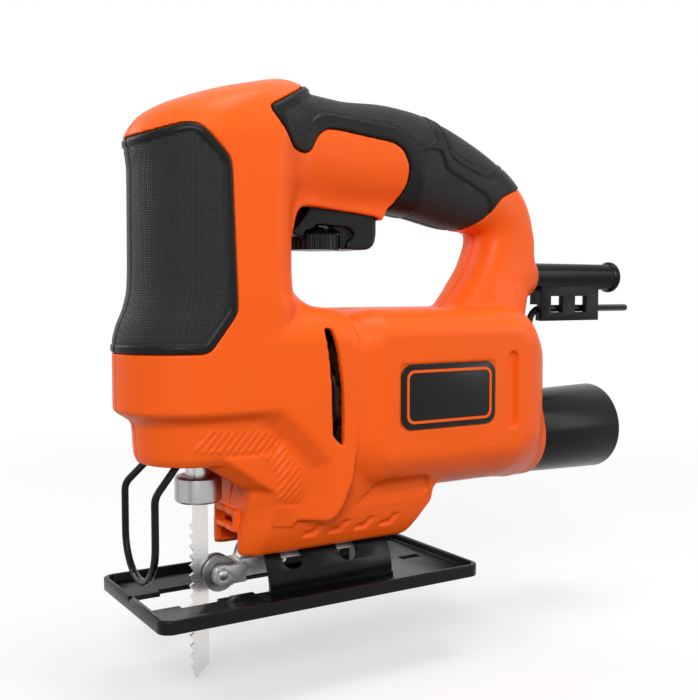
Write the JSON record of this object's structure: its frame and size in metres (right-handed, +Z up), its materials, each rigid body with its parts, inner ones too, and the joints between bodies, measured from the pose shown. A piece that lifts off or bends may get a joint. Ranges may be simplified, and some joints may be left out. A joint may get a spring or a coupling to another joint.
{
  "type": "jigsaw",
  "caption": "Corded jigsaw with a closed trigger handle, a reciprocating blade, a bevelling pressed shoe, a support roller, a wire guard, a dust tube and a hex key in a rear clip.",
  "frame": {"origin": "the point where the blade's axis passes the underside plane of the shoe", "axes": "+X from the cutting end to the dust tube, so the saw cuts towards -X; +Y to the right-hand housing half, y = 0 on the housing seam; +Z up along the blade"},
  "size_m": [0.2633, 0.067, 0.2311],
  "materials": {
    "orange_shell": "fine satin",
    "soft_grip": "textured matte",
    "black_plastic": "satin",
    "grey_plastic": "matte",
    "carbon": "matte",
    "black_steel": "powder coated",
    "steel": "ground",
    "dark_steel": "blued",
    "zinc": "bright cast zinc",
    "aluminium": "as cast",
    "brass": "machined",
    "copper": "enamelled copper wire"
  },
  "bodies": {
    "housing": {"housing_left": "orange_shell", "housing_right": "orange_shell", "front_grip_left": "soft_grip", "front_grip_right": "soft_grip", "handle_grip_left": "soft_grip", "handle_grip_right": "soft_grip", "badge_plates": "black_plastic", "housing_screws": "dark_steel", "roller_bracket": "zinc", "bevel_screws": "steel", "bevel_nuts": "steel", "roller_pin": "steel", "finger_guard": "black_steel", "bearing_plate": "aluminium", "front_bearing": "steel", "rear_bearing": "steel", "field_stack": "dark_steel", "field_coils": "copper", "brush_plate": "grey_plastic", "brush_holders": "brass", "carbon_brushes": "carbon", "gear_axle": "steel", "axle_clip": "dark_steel", "lower_bush": "brass", "upper_bush": "brass", "switch_body": "black_plastic", "trigger_spring": "steel", "button_spring": "steel", "cord_sleeve": "black_plastic", "cord_clamp": "grey_plastic", "cord_clamp_screws": "dark_steel", "key_clip": "soft_grip"},
    "shoe": {"shoe_plate": "black_steel", "bevel_saddle": "black_steel"},
    "armature": {"armature_shaft": "steel", "armature_core": "dark_steel", "armature_windings": "copper", "commutator": "copper", "cooling_fan": "black_plastic", "drive_pinion": "dark_steel"},
    "crank_gear": {"drive_gear": "steel", "crank_pin": "steel"},
    "crank_roller": {"crank_roller": "dark_steel"},
    "plunger": {"plunger_rod": "steel", "plunger_yoke": "dark_steel", "blade_clamp": "steel", "clamp_screw": "dark_steel", "saw_blade": "steel"},
    "support_roller": {"support_roller": "dark_steel"},
    "trigger": {"trigger": "black_plastic"},
    "speed_dial": {"speed_dial": "black_plastic"},
    "lock_button": {"lock_button": "black_plastic"},
    "hex_key": {"hex_key": "black_steel"},
    "dust_tube": {"dust_tube": "black_plastic"}
  },
  "joints": [
    {"name": "armature_spin", "type": "hinge", "parent": "housing", "child": "armature", "pos_m": [0.076, 0, 0.074], "axis": [1, 0, 0], "continuous": true},
    {"name": "gear_spin", "type": "hinge", "parent": "housing", "child": "crank_gear", "pos_m": [0.0155, 0, 0.0992], "axis": [1, 0, 0], "continuous": true},
    {"name": "crank_roller_spin", "type": "hinge", "parent": "crank_gear", "child": "crank_roller", "pos_m": [0.0102, 0, 0.1072], "axis": [1, 0, 0], "continuous": true},
    {"name": "plunger_slide", "type": "slide", "parent": "housing", "child": "plunger", "axis": [0, 0, 1], "range_m": [-0.016, 0]},
    {"name": "shoe_bevel", "type": "hinge", "parent": "housing", "child": "shoe", "pos_m": [0.04975, 0, 0.004], "axis": [1, 0, 0], "range_deg": [-45, 45]},
    {"name": "support_roller_spin", "type": "hinge", "parent": "housing", "child": "support_roller", "pos_m": [0.00745, 0, 0.0092], "axis": [0, 1, 0], "continuous": true},
    {"name": "trigger_pull", "type": "slide", "parent": "housing", "child": "trigger", "axis": [0, 0, 1], "range_m": [0, 0.0055], "stiffness_N_per_m": 400, "springref_m": -0.003, "deforming": ["trigger_spring"]},
    {"name": "speed_dial_turn", "type": "hinge", "parent": "trigger", "child": "speed_dial", "pos_m": [0.051, 0, 0.1373], "axis": [0, 0, 1], "range_deg": [-150, 150]},
    {"name": "lock_button_press", "type": "slide", "parent": "housing", "child": "lock_button", "axis": [0, -1, 0], "range_m": [0, 0.003], "stiffness_N_per_m": 300, "springref_m": -0.003, "deforming": ["button_spring"]},
    {"name": "hex_key_slide", "type": "slide", "parent": "housing", "child": "hex_key", "axis": [0, 1, 0], "range_m": [0, 0.03]},
    {"name": "dust_tube_slide", "type": "slide", "parent": "housing", "child": "dust_tube", "axis": [1, 0, 0], "range_m": [0, 0.024]}
  ],
  "couplings": [
    {"joint": "gear_spin", "follows": "armature_spin", "ratio": -0.27273}
  ]
}
